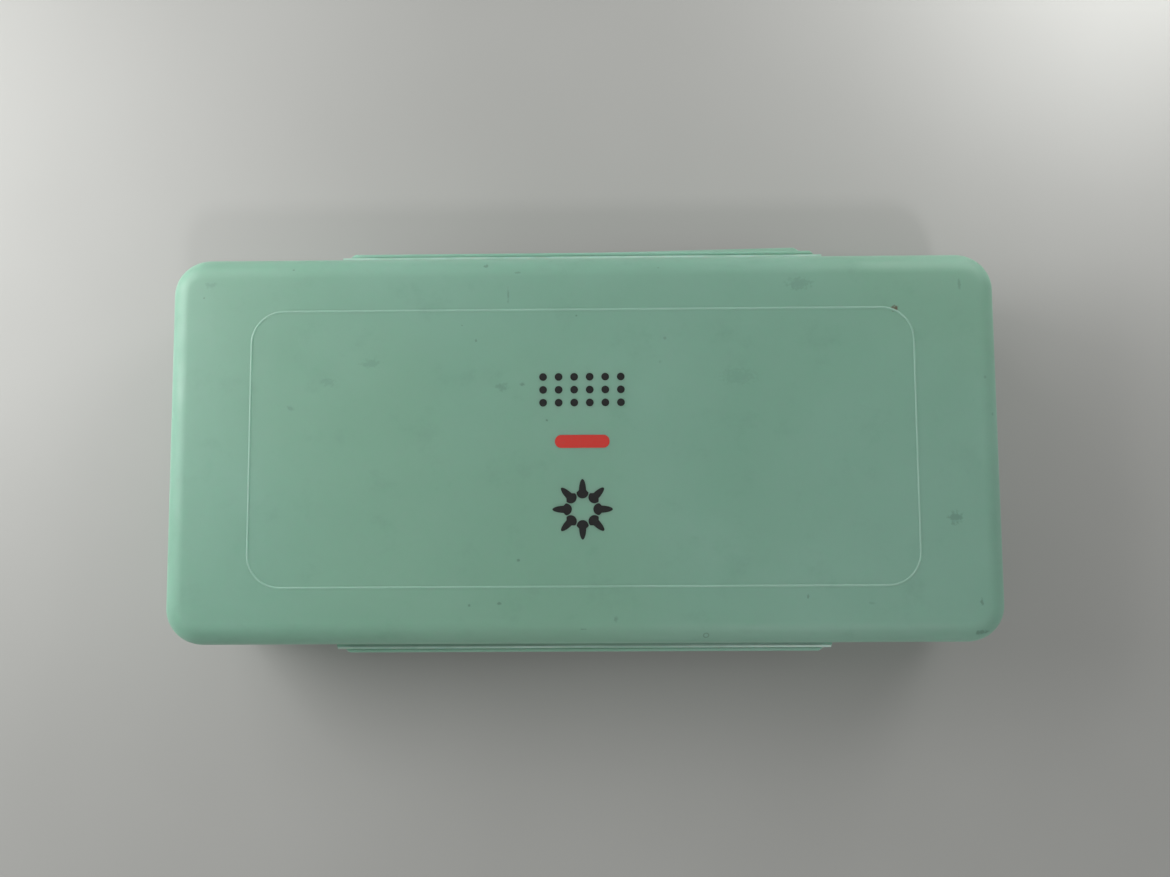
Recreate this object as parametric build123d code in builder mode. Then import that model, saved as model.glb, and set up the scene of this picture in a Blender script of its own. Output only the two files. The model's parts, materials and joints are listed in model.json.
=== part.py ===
"""A flat plastic paint box: a tray and a lift-off lid, closed by two long latches on film hinges.

Inside are a mixing palette that hangs on the tray's upstand, three brushes in the palette's trough,
and eighteen pots of paint in a grid under it. Millimetres, +X along the box, -Y to the front, +Z up,
with the origin under the middle of the box, on the surface that it stands on.
"""

import os
from math import asin, atan2, cos, degrees, hypot, radians, sin, tan

from build123d import *

# ---- Case: the tray and the lid -----------------------------------------------------------------
case_length = 325.0  # over the lid's rim, along X
case_width = 152.2  # over the lid's rim, along Y, without the latches
corner_radius = 14.5  # the lid's upright corners, at its rim
lid_wall = 1.8
lid_edge_radius = 9.0  # round edge between the lid's top and its sides
lid_draft = 1.5  # degrees
lid_headroom = 0.4  # between the palette's top and the start of the lid's round edge
lid_clearance = 0.3  # between the lid's inner face and the tray's upstand
tray_wall = 1.8
tray_floor = 1.8
tray_draft = 2.0  # degrees
tray_edge_radius = 5.0  # round edge between the tray's floor and its sides
upstand_height = 8.4  # the tray's edge that reaches up inside the lid
rim_thickness = 2.4  # the tray's flange that the lid sits on
rim_setback = 0.6  # how far that flange stops short of the lid's outer face
foot_height = 0.8  # the ring that the tray stands on
foot_width = 8.0
foot_corner_radius = 6.0

# ---- Raised line round the lid's panel ----------------------------------------------------------
panel_length = 257.5
panel_width = 107.5
panel_radius = 13.0
bead_width = 0.9
bead_height = 0.35

# ---- Latches: flaps on film hinges at the lid, hooking under a catch on the tray ----------------
latch_length = 196.0
latch_thickness = 1.5
latch_drop = 21.0  # from the hinge down to the flap's lower edge
latch_end_slope = 1.2  # how fast each end is cut back, along X for each millimetre outwards
latch_corner_radius = 4.0
lip_reach = 1.7  # the finger lip along the flap's lower edge
lip_height = 3.6
hinge_rise = 3.0  # the film hinge above the tray's rim
ledge_reach = 2.0  # the lid's ledge that carries the film hinge
ledge_thickness = 2.2
film_width = 0.4  # from the ledge to the hinge's axis
film_thickness = 0.5
film_slot = 22.0  # the opening in the middle of each film
flap_clearance = 0.4  # from the hinge's axis to the flap's inner face
flap_top_drop = 0.1  # from the hinge's axis down to the flap's top
catch_drop = 11.6  # from the tray's rim down to the catch's lower face
catch_setback = 7.0  # how far each of its ends stops short of the latch's
catch_thickness = 1.2
catch_slope = 2.2
hook_reach = 2.4
hook_thickness = 0.8
hook_slope = 1.5
hook_setback = 9.0  # how far each of its ends stops short of the latch's
hook_bite = 0.5  # how far the clicked-in hook lies under the catch
hook_play = 0.3  # its clearance below the catch
hook_release = 0.12  # how far outside the catch the front latch's hook hangs at rest
rear_latch_angle = 10.0  # degrees that the rear latch has sprung out at rest

# ---- Paint pots ---------------------------------------------------------------------------------
pot_columns = 6
pot_rows = 3
pot_height = 26.4
pot_wall = 1.0
pot_draft = 3.5  # degrees
pot_edge_radius = 3.0
pot_corner_radius = 7.0
pot_flange_thickness = 1.2
pot_flange_overhang = 2.0
pot_margin = 1.2  # between the outer pots and the tray's wall
pot_gap = 0.8  # between two pots' flanges
headspace = 6.6  # from the pot's top down to the paint
paint_clearance = 0.1
divider_height = 3.2  # the ribs on the tray's floor between the pots
divider_thickness = 1.4

# ---- Mixing palette -----------------------------------------------------------------------------
palette_depth = 11.3
palette_seat_gap = 0.3  # between the pots and the palette's underside
palette_clearance = 0.6  # between the palette's sides and the tray's upstand
palette_wall = 2.2
palette_floor = 1.2
palette_flange_thickness = 1.2
well_radius = 6.0
well_edge_radius = 2.5
well_draft = 3.0  # degrees
small_well_width = 40.0
small_wells = 6
large_wells = 3
side_wells = 2  # beside the brushes

# ---- Brushes ------------------------------------------------------------------------------------
brush_pitch = 10.8
brush_side_gap = 1.2
brush_end_gap = 6.0
brush_seat_gap = 0.2
handle_taper_length = 108.0  # from the tail to the belly
handle_shoulder_length = 38.0  # from the belly to the ferrule
handle_belly_radius = 3.6
handle_neck_radius = 2.5
handle_tail_radius = 1.5
handle_tail_edge = 1.3  # round edge at the tail
tenon_radius = 2.0
tenon_length = 8.0
sleeve_length = 9.0  # the round part of the ferrule, over the handle's tenon
flare_length = 11.0  # where it changes to the shape of its mouth
mouth_length = 6.0  # the straight part that grips the bristles
ferrule_radius = 2.9
ferrule_wall = 0.4
crimp_pitch = 3.0
crimp_width = 1.0
crimp_depth = 0.25
bristle_length = 17.0
bristle_tip = 0.7  # thickness of a flat head's tip
flat_head_width = 8.6
flat_head_thickness = 2.6
round_head_radius = 2.3
round_head_flare = 0.1  # slope of its side where it leaves the ferrule
round_head_taper = 0.35  # slope of its side at its point
joint_clearance = 0.05  # between a brush's parts, inside its ferrule

# ---- Heights, worked out from the stack inside --------------------------------------------------
floor_top = foot_height + tray_floor
pot_top = floor_top + pot_height
palette_bottom = pot_top + palette_seat_gap
palette_top = palette_bottom + palette_depth
upstand_top = palette_top - palette_flange_thickness
rim_top = upstand_top - upstand_height
case_height = palette_top + lid_headroom + lid_edge_radius
lid_height = case_height - rim_top

# ---- Plan sizes, worked out from the case inwards -----------------------------------------------
upstand_setback = lid_wall + lid_clearance
upstand_length = case_length - 2 * upstand_setback
upstand_width = case_width - 2 * upstand_setback
upstand_radius = corner_radius - upstand_setback
inner_length = upstand_length - 2 * tray_wall
inner_width = upstand_width - 2 * tray_wall
inner_radius = upstand_radius - tray_wall

BRUSHES = ("round", "flat", "filbert")  # from the front of the trough to the back
FRONT, REAR = -1, 1

pot_pitch_x = (inner_length - 2 * pot_margin) / pot_columns
pot_pitch_y = (inner_width - 2 * pot_margin) / pot_rows
pot_length = pot_pitch_x - pot_gap - 2 * pot_flange_overhang
pot_width = pot_pitch_y - pot_gap - 2 * pot_flange_overhang

palette_length = inner_length - 2 * palette_clearance
palette_width = inner_width - 2 * palette_clearance
palette_radius = inner_radius - palette_clearance
well_floor = palette_bottom + palette_floor
wells_length = palette_length - 2 * palette_wall
wells_width = palette_width - 2 * palette_wall
handle_length = handle_taper_length + handle_shoulder_length
ferrule_length = sleeve_length + flare_length + mouth_length
brush_length = handle_length + ferrule_length + bristle_length
brush_height = well_floor + brush_seat_gap + handle_belly_radius
trough_length = brush_length + 2 * brush_end_gap
trough_width = len(BRUSHES) * brush_pitch + 2 * brush_side_gap
trough_y = (trough_width - wells_width) / 2
brush_tail = brush_end_gap - wells_length / 2
large_well_width = wells_width - small_well_width - trough_width - 2 * palette_wall
side_length = wells_length - trough_length - palette_wall

hinge_y = case_width / 2 + ledge_reach + film_width
hinge_z = rim_top + hinge_rise
flap_face = flap_clearance  # distances from the hinge's axis, outwards
flap_back = flap_face + latch_thickness
lip_edge = flap_back + lip_reach
hook_tip = flap_face - hook_reach
catch_y = hinge_y + hook_tip + hook_bite
catch_z = rim_top - catch_drop
hook_top = catch_z - hook_play - hinge_z

# Turned out by this angle, the front latch's hook hangs just outside its catch, not clicked home.
front_latch_angle = degrees(
    atan2(-hook_tip, -hook_top)
    + asin((hook_tip + hook_bite + hook_release) / hypot(hook_tip, hook_top))
)


def shrink(height, draft):
    """How far a wall with this draft moves in over a height."""
    return height * tan(radians(draft))


def upward(z, x=0, y=0):
    """A level plane that extrudes upwards."""
    return Plane(origin=(x, y, z), x_dir=(1, 0, 0), z_dir=(0, 0, 1))


def downward(z, x=0, y=0):
    """A level plane that extrudes downwards."""
    return Plane(origin=(x, y, z), x_dir=(1, 0, 0), z_dir=(0, 0, -1))


def block(plane, length, width, radius, depth, draft=0.0, mode=Mode.ADD):
    """Extrudes a rectangle with round corners that narrows by its draft."""
    with BuildSketch(plane) as outline:
        RectangleRounded(length, width, radius)
    extrude(outline.sketch, amount=depth, taper=draft, mode=mode)


def make_pocket(plane, length, width, radius, depth, draft, edge_radius):
    """A space with round corners, a draft and a round edge at its bottom, to cut out of a piece."""
    with BuildPart() as pocket:
        block(plane, length, width, radius, depth, draft)
        fillet(pocket.faces().sort_by(Axis((0, 0, 0), plane.z_dir))[-1].edges(), edge_radius)
    return pocket.part


def save(piece, name):
    """Labels a finished piece and writes its STEP file."""
    piece.part.label = name
    export_step(piece.part, f"parts/{name}.step")


# ---- Tray ---------------------------------------------------------------------------------------
def make_tray():
    """The lower shell, with its rim, upstand, catches, foot ring and low walls between the pots."""
    space = make_pocket(
        downward(rim_top),
        inner_length,
        inner_width,
        inner_radius,
        rim_top - floor_top,
        tray_draft,
        tray_edge_radius - tray_wall,
    )
    with BuildPart() as room:
        add(space)
        block(upward(rim_top), inner_length, inner_width, inner_radius, upstand_height)
        with BuildSketch(upward(0)):
            with GridLocations(pot_pitch_x, 0, pot_columns - 1, 1):
                Rectangle(divider_thickness, inner_width)
            with GridLocations(0, pot_pitch_y, 1, pot_rows - 1):
                Rectangle(inner_length, divider_thickness)
        extrude(amount=floor_top + divider_height, mode=Mode.SUBTRACT)

    foot_inset = 2 * (shrink(rim_top, tray_draft) + tray_edge_radius + foot_width)
    with BuildPart() as tray:
        block(
            downward(rim_top), upstand_length, upstand_width, upstand_radius, rim_top, tray_draft
        )
        fillet(tray.faces().sort_by(Axis.Z)[0].edges(), tray_edge_radius)
        block(
            downward(rim_top),
            case_length - 2 * rim_setback,
            case_width - 2 * rim_setback,
            corner_radius - rim_setback,
            rim_thickness,
        )
        block(
            upward(rim_top),
            upstand_length,
            upstand_width,
            upstand_radius,
            upstand_height,
            lid_draft,
        )
        for side in (FRONT, REAR):
            root = upstand_width / 2 - shrink(catch_drop, tray_draft) - tray_wall / 2
            with BuildSketch(Plane.YZ):
                with BuildLine():
                    Polyline(
                        (side * root, catch_z),
                        (side * catch_y, catch_z),
                        (side * catch_y, catch_z + catch_thickness),
                        (side * root, catch_z + catch_thickness + catch_slope),
                        close=True,
                    )
                make_face()
            extrude(amount=latch_length / 2 - catch_setback, both=True)
        add(room.part, mode=Mode.SUBTRACT)
        block(
            upward(0),
            upstand_length - foot_inset,
            upstand_width - foot_inset,
            foot_corner_radius,
            foot_height,
            mode=Mode.SUBTRACT,
        )
    return tray


# ---- Latches and their film hinges --------------------------------------------------------------
def hinge_plane(side, angle):
    """A plane across a latch's hinge: local X outwards and local Y up, turned open by the angle."""
    turn = radians(angle)
    return Plane(
        origin=(0, side * hinge_y, hinge_z),
        x_dir=(0, side * cos(turn), sin(turn)),
        z_dir=(side, 0, 0),
    )


def trim_ends(plane):
    """Cuts the ends of what stands at a hinge back to the latch's outline, seen from above."""
    inner = -ledge_reach - film_width
    half = latch_length / 2
    bevel = latch_end_slope * (lip_edge - inner)
    side = plane.z_dir.X
    with BuildSketch(Plane(origin=plane.origin, x_dir=(side, 0, 0), z_dir=plane.y_dir)) as outline:
        with BuildLine():
            Polyline(
                (-half, inner - lid_wall),
                (-half, inner),
                (-half + bevel, lip_edge),
                (half - bevel, lip_edge),
                (half, inner),
                (half, inner - lid_wall),
                close=True,
            )
        make_face()
    extrude(outline.sketch, amount=2 * latch_drop, both=True, mode=Mode.INTERSECT)


def make_ledge(side):
    """The ledge on the lid's side and the two lengths of film that reach out to the hinge's axis."""
    plane = hinge_plane(side, 0)
    top = film_thickness / 2
    reach = ledge_reach + lid_wall / 2 + shrink(hinge_rise, lid_draft)
    with BuildPart() as ledge:
        with BuildSketch(plane):
            with Locations((-film_width, top)):
                Rectangle(reach, ledge_thickness, align=(Align.MAX, Align.MAX))
        extrude(amount=latch_length / 2, both=True)
        with BuildSketch(plane):
            Rectangle(2 * film_width, film_thickness, align=(Align.MAX, Align.CENTER))
            Circle(film_thickness / 2)
        extrude(amount=latch_length / 2, both=True)
        trim_ends(plane)
        with BuildSketch(plane):
            with Locations((-film_width, 0)):
                Rectangle(
                    film_width + film_thickness, film_thickness, align=(Align.MIN, Align.CENTER)
                )
        extrude(amount=film_slot / 2, both=True, mode=Mode.SUBTRACT)
    return ledge.part


def make_latch(side, angle):
    """A flap that hangs from its hinge, with a hook inside and a finger lip at its lower edge."""
    plane = hinge_plane(side, angle)
    with BuildPart() as latch:
        with BuildSketch(plane):
            with BuildLine():
                Polyline(
                    (flap_face, -flap_top_drop),
                    (flap_back, -flap_top_drop),
                    (flap_back, lip_height - latch_drop),
                    (lip_edge, latch_thickness / 2 - latch_drop),
                    (lip_edge, -latch_drop),
                    (lip_edge - latch_thickness, -latch_drop),
                    (flap_face, lip_height - latch_thickness / 2 - latch_drop),
                    close=True,
                )
            make_face()
        extrude(amount=latch_length / 2, both=True)
        trim_ends(plane)
        with BuildSketch(Plane(origin=plane.origin, x_dir=(1, 0, 0), z_dir=plane.x_dir)):
            RectangleRounded(latch_length, 2 * latch_drop, latch_corner_radius)
        extrude(amount=latch_drop, both=True, mode=Mode.INTERSECT)
        with BuildSketch(plane):
            with BuildLine():
                Polyline(
                    (flap_face, hook_top),
                    (hook_tip, hook_top),
                    (hook_tip, hook_top - hook_thickness),
                    (flap_face, hook_top - hook_thickness - hook_slope),
                    close=True,
                )
            make_face()
        extrude(amount=latch_length / 2 - hook_setback, both=True)
    return latch


# ---- Lid ----------------------------------------------------------------------------------------
def make_lid():
    """The upper shell, with a raised line round its panel and the ledges that carry the latches."""
    space = make_pocket(
        upward(rim_top),
        case_length - 2 * lid_wall,
        case_width - 2 * lid_wall,
        corner_radius - lid_wall,
        lid_height - lid_wall,
        lid_draft,
        lid_edge_radius - lid_wall,
    )
    ledges = [make_ledge(side) for side in (FRONT, REAR)]
    with BuildPart() as lid:
        block(upward(rim_top), case_length, case_width, corner_radius, lid_height, lid_draft)
        fillet(lid.faces().sort_by(Axis.Z)[-1].edges(), lid_edge_radius)
        with BuildSketch(upward(case_height)):
            RectangleRounded(panel_length, panel_width, panel_radius)
            RectangleRounded(
                panel_length - 2 * bead_width,
                panel_width - 2 * bead_width,
                panel_radius - bead_width,
                mode=Mode.SUBTRACT,
            )
        extrude(amount=bead_height)
        add(ledges)
        add(space, mode=Mode.SUBTRACT)
    return lid


# ---- Pots of paint ------------------------------------------------------------------------------
def make_pot(x, y):
    """A pot with a flange round its mouth."""
    top = downward(pot_top, x, y)
    space = make_pocket(
        top,
        pot_length - 2 * pot_wall,
        pot_width - 2 * pot_wall,
        pot_corner_radius - pot_wall,
        pot_height - pot_wall,
        pot_draft,
        pot_edge_radius - pot_wall,
    )
    with BuildPart() as pot:
        block(top, pot_length, pot_width, pot_corner_radius, pot_height, pot_draft)
        fillet(pot.faces().sort_by(Axis.Z)[0].edges(), pot_edge_radius)
        block(
            top,
            pot_length + 2 * pot_flange_overhang,
            pot_width + 2 * pot_flange_overhang,
            pot_corner_radius + pot_flange_overhang,
            pot_flange_thickness,
        )
        add(space, mode=Mode.SUBTRACT)
    return pot


def make_paint(x, y):
    """The paint that fills a pot up to its headspace."""
    inset = pot_wall + paint_clearance + shrink(headspace, pot_draft)
    with BuildPart() as paint:
        add(
            make_pocket(
                downward(pot_top - headspace, x, y),
                pot_length - 2 * inset,
                pot_width - 2 * inset,
                pot_corner_radius - inset,
                pot_height - headspace - pot_wall,
                pot_draft,
                pot_edge_radius - pot_wall,
            )
        )
    return paint


# ---- Mixing palette -----------------------------------------------------------------------------
def make_wells(x, y, length, width, count):
    """A row of equal wells that shares a length, from its left end, with a wall between them."""
    pitch = (length + palette_wall) / count
    return [
        make_pocket(
            downward(palette_top, x + (place + 0.5) * pitch - palette_wall / 2, y),
            pitch - palette_wall,
            width,
            well_radius,
            palette_top - well_floor,
            well_draft,
            well_edge_radius,
        )
        for place in range(count)
    ]


def make_palette():
    """The palette: a flange on the tray's upstand, rows of wells, and the trough for the brushes."""
    left = -wells_length / 2
    small_y = (wells_width - small_well_width) / 2
    large_y = wells_width / 2 - small_well_width - palette_wall - large_well_width / 2
    side_x = left + trough_length + palette_wall
    wells = make_wells(left, small_y, wells_length, small_well_width, small_wells)
    wells += make_wells(left, large_y, wells_length, large_well_width, large_wells)
    wells += make_wells(left, trough_y, trough_length, trough_width, 1)
    wells += make_wells(side_x, trough_y, side_length, trough_width, side_wells)
    inset = shrink(upstand_height, lid_draft)
    with BuildPart() as palette:
        block(
            upward(palette_bottom), palette_length, palette_width, palette_radius, palette_depth
        )
        block(
            upward(upstand_top),
            upstand_length - 2 * inset,
            upstand_width - 2 * inset,
            upstand_radius - inset,
            palette_flange_thickness,
            lid_draft,
        )
        add(wells, mode=Mode.SUBTRACT)
    return palette


# ---- Brushes ------------------------------------------------------------------------------------
def brush_plane(x, y):
    """An upright plane along a brush: local X to its tip and local Y up, at a distance from its tail."""
    return Plane(origin=(brush_tail + x, y, brush_height), x_dir=(1, 0, 0), z_dir=(0, -1, 0))


def brush_section(x, y):
    """A plane across a brush, facing its tip."""
    return Plane(origin=(brush_tail + x, y, brush_height), x_dir=(0, 1, 0), z_dir=(1, 0, 0))


def head_outline(shape, inset=0.0):
    """Draws a ferrule's mouth, or what lies inside it by an inset."""
    if shape == "round":
        Circle(round_head_radius - inset)
    else:
        width = flat_head_width - 2 * inset
        thickness = flat_head_thickness - 2 * inset
        SlotOverall(width, thickness)


def make_handle(y):
    """A turned handle with its belly near the ferrule and a tenon at its end."""
    plane = brush_plane(0, y)
    with BuildPart() as handle:
        with BuildSketch(plane):
            with BuildLine():
                Line((0, 0), (0, handle_tail_radius))
                Spline(
                    (0, handle_tail_radius),
                    (handle_taper_length, handle_belly_radius),
                    tangents=[(1, 0), (1, 0)],
                )
                Spline(
                    (handle_taper_length, handle_belly_radius),
                    (handle_length, handle_neck_radius),
                    tangents=[(1, 0), (1, 0)],
                )
                Polyline(
                    (handle_length, handle_neck_radius),
                    (handle_length, tenon_radius),
                    (handle_length + tenon_length, tenon_radius),
                    (handle_length + tenon_length, 0),
                    (0, 0),
                )
            make_face()
        revolve(axis=Axis(plane.origin, plane.x_dir))
        fillet(handle.faces().sort_by(Axis.X)[0].edges(), handle_tail_edge)
    return handle


def make_ferrule(y, shape):
    """A metal ferrule: a crimped sleeve that changes to the shape of the head at its mouth."""
    sleeve = brush_plane(handle_length, y)
    sleeve_start = brush_section(handle_length, y)
    sleeve_end = brush_section(handle_length + sleeve_length, y)
    mouth_start = brush_section(handle_length + sleeve_length + flare_length, y)
    with BuildPart() as ferrule:
        with BuildSketch(sleeve_start):
            Circle(ferrule_radius)
        extrude(amount=sleeve_length)
        with BuildSketch(sleeve_end):
            Circle(ferrule_radius)
        with BuildSketch(mouth_start):
            head_outline(shape)
        loft()
        with BuildSketch(mouth_start):
            head_outline(shape)
        extrude(amount=mouth_length)
        with BuildSketch(mouth_start):
            head_outline(shape, ferrule_wall)
        extrude(amount=mouth_length, mode=Mode.SUBTRACT)
        with BuildSketch(sleeve_start):
            Circle(tenon_radius + joint_clearance)
        extrude(amount=tenon_length, mode=Mode.SUBTRACT)
        with BuildSketch(sleeve):
            with Locations((crimp_pitch, ferrule_radius), (2 * crimp_pitch, ferrule_radius)):
                Rectangle(crimp_width, 2 * crimp_depth)
        revolve(axis=Axis(sleeve.origin, sleeve.x_dir), mode=Mode.SUBTRACT)
    return ferrule


def make_bristles(y, shape):
    """A head of bristles, held in the ferrule's mouth: a point, a chisel edge or a rounded edge."""
    root = handle_length + sleeve_length + flare_length
    mouth = root + mouth_length
    inset = ferrule_wall + joint_clearance
    with BuildPart() as bristles:
        with BuildSketch(brush_section(root, y)):
            head_outline(shape, inset)
        extrude(amount=mouth_length)
        if shape == "round":
            plane = brush_plane(mouth, y)
            radius = round_head_radius - inset
            with BuildSketch(plane):
                with BuildLine():
                    Line((0, 0), (0, radius))
                    Spline(
                        (0, radius),
                        (bristle_length, 0),
                        tangents=[(1, round_head_flare), (1, -round_head_taper)],
                    )
                    Line((bristle_length, 0), (0, 0))
                make_face()
            revolve(axis=Axis(plane.origin, plane.x_dir))
        else:
            with BuildSketch(brush_section(mouth, y)):
                head_outline(shape, inset)
            with BuildSketch(brush_section(mouth + bristle_length, y)):
                SlotOverall(flat_head_width - 2 * inset, bristle_tip)
            loft()
        if shape == "filbert":
            with BuildSketch(upward(brush_height, brush_tail + root, y)):
                SlotOverall(2 * (mouth_length + bristle_length), flat_head_width)
            extrude(amount=flat_head_width, both=True, mode=Mode.INTERSECT)
    return bristles


os.makedirs("parts", exist_ok=True)

save(make_tray(), "tray")
save(make_lid(), "lid")
save(make_latch(FRONT, front_latch_angle), "front_latch")
save(make_latch(REAR, rear_latch_angle), "rear_latch")
save(make_palette(), "palette")

for number in range(pot_columns * pot_rows):
    row, column = divmod(number, pot_columns)
    pot_x = (column - (pot_columns - 1) / 2) * pot_pitch_x
    pot_y = ((pot_rows - 1) / 2 - row) * pot_pitch_y
    save(make_pot(pot_x, pot_y), f"pot_{number + 1:02d}")
    save(make_paint(pot_x, pot_y), f"paint_{number + 1:02d}")

for number, shape in enumerate(BRUSHES):
    brush_y = trough_y + (number - (len(BRUSHES) - 1) / 2) * brush_pitch
    save(make_handle(brush_y), f"{shape}_brush_handle")
    save(make_ferrule(brush_y, shape), f"{shape}_brush_ferrule")
    save(make_bristles(brush_y, shape), f"{shape}_brush_bristles")
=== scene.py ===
"""A mint-green plastic paint box, shut, with the palette, brushes and pots of paint inside it.

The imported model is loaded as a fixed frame. The case, the paint and the prints are modelled anew
round it, the other pieces are softened copies of their nodes, and everything gets its finish here.
Lengths are in metres, with millimetres written as a number times MM.
"""

from __future__ import annotations

import json
import logging
import math
import random
from collections.abc import Callable, Iterable
from dataclasses import dataclass
from enum import Enum

import bmesh
import bpy
from mathutils import Matrix, Vector


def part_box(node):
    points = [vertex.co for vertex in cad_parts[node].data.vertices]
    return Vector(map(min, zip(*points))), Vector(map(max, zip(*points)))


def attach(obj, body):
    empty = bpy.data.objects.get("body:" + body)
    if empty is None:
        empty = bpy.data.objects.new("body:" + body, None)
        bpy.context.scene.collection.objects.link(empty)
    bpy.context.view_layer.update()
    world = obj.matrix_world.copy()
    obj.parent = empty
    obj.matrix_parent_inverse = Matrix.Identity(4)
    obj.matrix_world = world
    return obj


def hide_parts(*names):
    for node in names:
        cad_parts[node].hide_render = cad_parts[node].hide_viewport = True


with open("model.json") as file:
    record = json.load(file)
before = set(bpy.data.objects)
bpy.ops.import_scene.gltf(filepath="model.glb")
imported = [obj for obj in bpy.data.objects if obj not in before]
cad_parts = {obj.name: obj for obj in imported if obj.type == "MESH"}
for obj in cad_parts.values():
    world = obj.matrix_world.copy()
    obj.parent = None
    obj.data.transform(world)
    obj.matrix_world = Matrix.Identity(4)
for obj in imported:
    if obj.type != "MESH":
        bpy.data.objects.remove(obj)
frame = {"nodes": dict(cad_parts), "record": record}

MM = 0.001
TINY = 0.02 * MM
MERGE = MM / 1000  # corners closer than this are one
COPLANAR = math.radians(0.5)  # faces that turn less than this are one
SMOOTH = math.radians(35)  # edges that turn less than this are shaded smooth
SHARP = math.radians(40)  # edges that turn more than this are rounded
log = logging.getLogger("paint_box")
Colour = tuple[float, float, float]
Triple = tuple[float, float, float]
Span = tuple[float, float]
Socket = bpy.types.NodeSocket
Test = Callable[[list[Vector]], bool]


class Axis(Enum):
    """The world's axes, by their index in a vector."""

    X = 0
    Y = 1
    Z = 2


# ---- Shaping ------------------------------------------------------------------------------------
class Blank:
    """A mesh that is shaped with the modelling tools, from a primitive to a finished piece."""

    def __init__(self, thing: bpy.types.Object) -> None:
        """Takes hold of the mesh object that is to be shaped."""
        self.thing = thing

    @classmethod
    def box(cls, name: str, low: Vector, high: Vector) -> Blank:
        """A block between two corners.

        Args:
            name: the piece's name.
            low: its lowest corner.
            high: its highest corner.

        Returns:
            The block.
        """
        deselect()
        bpy.ops.mesh.primitive_cube_add(size=1.0, location=(low + high) / 2, scale=high - low)
        return cls(claim(name))

    @classmethod
    def sheet(cls, name: str, length: float, width: float, height: float) -> Blank:
        """A level rectangle over the origin.

        Args:
            name: the piece's name.
            length: its size along X.
            width: its size along Y.
            height: where it lies.

        Returns:
            The rectangle.
        """
        deselect()
        bpy.ops.mesh.primitive_plane_add(size=1.0, location=(0, 0, height))
        bpy.context.object.scale = (length, width, 1)
        return cls(claim(name))

    @classmethod
    def disc(cls, name: str, radius: float, place: Vector, sides: int = 32) -> Blank:
        """A level disc.

        Args:
            name: the piece's name.
            radius: its radius.
            place: its centre.
            sides: how many sides its outline has.

        Returns:
            The disc.
        """
        deselect()
        bpy.ops.mesh.primitive_circle_add(
            vertices=sides, radius=radius, fill_type="NGON", location=place
        )
        return cls(claim(name))

    @classmethod
    def copy_of(cls, node: str) -> Blank:
        """A merged copy of a node's mesh.

        Args:
            node: the node.

        Returns:
            The copy, named after the node.
        """
        original = frame["nodes"][node]
        thing = bpy.data.objects.new(f"{node}_skin", original.data.copy())
        bpy.context.scene.collection.objects.link(thing)
        thing.data.materials.clear()
        blank = cls(thing)
        blank.edit()
        bpy.ops.mesh.select_all(action="SELECT")
        bpy.ops.mesh.remove_doubles(threshold=MERGE)
        bpy.ops.mesh.dissolve_limited(angle_limit=COPLANAR)
        blank.rest()
        return blank

    def hold(self) -> None:
        """Selects this object alone, out of edit mode."""
        if bpy.context.mode != "OBJECT":
            self.rest()
        deselect()
        self.thing.select_set(True)
        bpy.context.view_layer.objects.active = self.thing

    def edit(self) -> None:
        """Starts editing this mesh alone."""
        self.hold()
        bpy.ops.object.mode_set(mode="EDIT")

    def rest(self) -> None:
        """Stops editing."""
        bpy.ops.object.mode_set(mode="OBJECT")

    def pick(self, kind: str, test: Test, open_only: bool = False) -> None:
        """Selects the elements whose corners pass a test, and nothing else.

        Args:
            kind: VERT, EDGE or FACE.
            test: what the places of an element's corners must pass.
            open_only: whether only edges of a hole count.
        """
        bpy.ops.mesh.select_mode(type=kind)
        bpy.ops.mesh.select_all(action="DESELECT")
        shape = bmesh.from_edit_mesh(self.thing.data)
        groups = {"VERT": shape.verts, "EDGE": shape.edges, "FACE": shape.faces}
        for element in groups[kind]:
            corners = [element.co] if kind == "VERT" else [v.co for v in element.verts]
            if test(corners) and (not open_only or element.is_boundary):
                element.select_set(True)
        bmesh.update_edit_mesh(self.thing.data)

    def pick_level(self, kind: str, height: float, open_only: bool = False) -> None:
        """Selects the elements that lie at a height.

        Args:
            kind: VERT, EDGE or FACE.
            height: the height.
            open_only: whether only edges of a hole count.
        """
        self.pick(
            kind, lambda corners: all(abs(c.z - height) < TINY for c in corners), open_only
        )

    def narrow(self, height: float, inset: float) -> None:
        """Moves the corners at a height in towards the middle, which gives the sides their draft.

        Args:
            height: the height.
            inset: how far each side moves in.
        """
        low, high = self.bounds()
        size = high - low
        self.pick_level("VERT", height)
        bpy.ops.transform.resize(
            value=(1 - 2 * inset / size.x, 1 - 2 * inset / size.y, 1),
            center_override=(low + high) / 2,
        )

    def bounds(self) -> tuple[Vector, Vector]:
        """Finds how far the mesh reaches.

        Returns:
            Its lowest and its highest corner.
        """
        if bpy.context.mode == "EDIT_MESH":
            places = [v.co.copy() for v in bmesh.from_edit_mesh(self.thing.data).verts]
        else:
            places = [v.co.copy() for v in self.thing.data.vertices]
        return (
            Vector(min(p[i] for p in places) for i in range(3)),
            Vector(max(p[i] for p in places) for i in range(3)),
        )

    def bevel(self, affect: str, radius: float, segments: int) -> None:
        """Rounds what is selected.

        Args:
            affect: EDGES or VERTICES.
            radius: the radius.
            segments: faces in each round.
        """
        bpy.ops.mesh.bevel(
            offset=radius, segments=segments, affect=affect, clamp_overlap=False
        )

    def round_uprights(self, radius: float, segments: int) -> None:
        """Rounds the upright edges to a radius, with this many faces in each round."""
        self.pick("EDGE", lambda corners: abs(corners[0].z - corners[1].z) > MM)
        self.bevel("EDGES", radius, segments)

    def round_level(self, height: float, radius: float, segments: int) -> None:
        """Rounds the edges at a height to a radius, with this many faces in each round."""
        self.pick_level("EDGE", height)
        self.bevel("EDGES", radius, segments)

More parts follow.
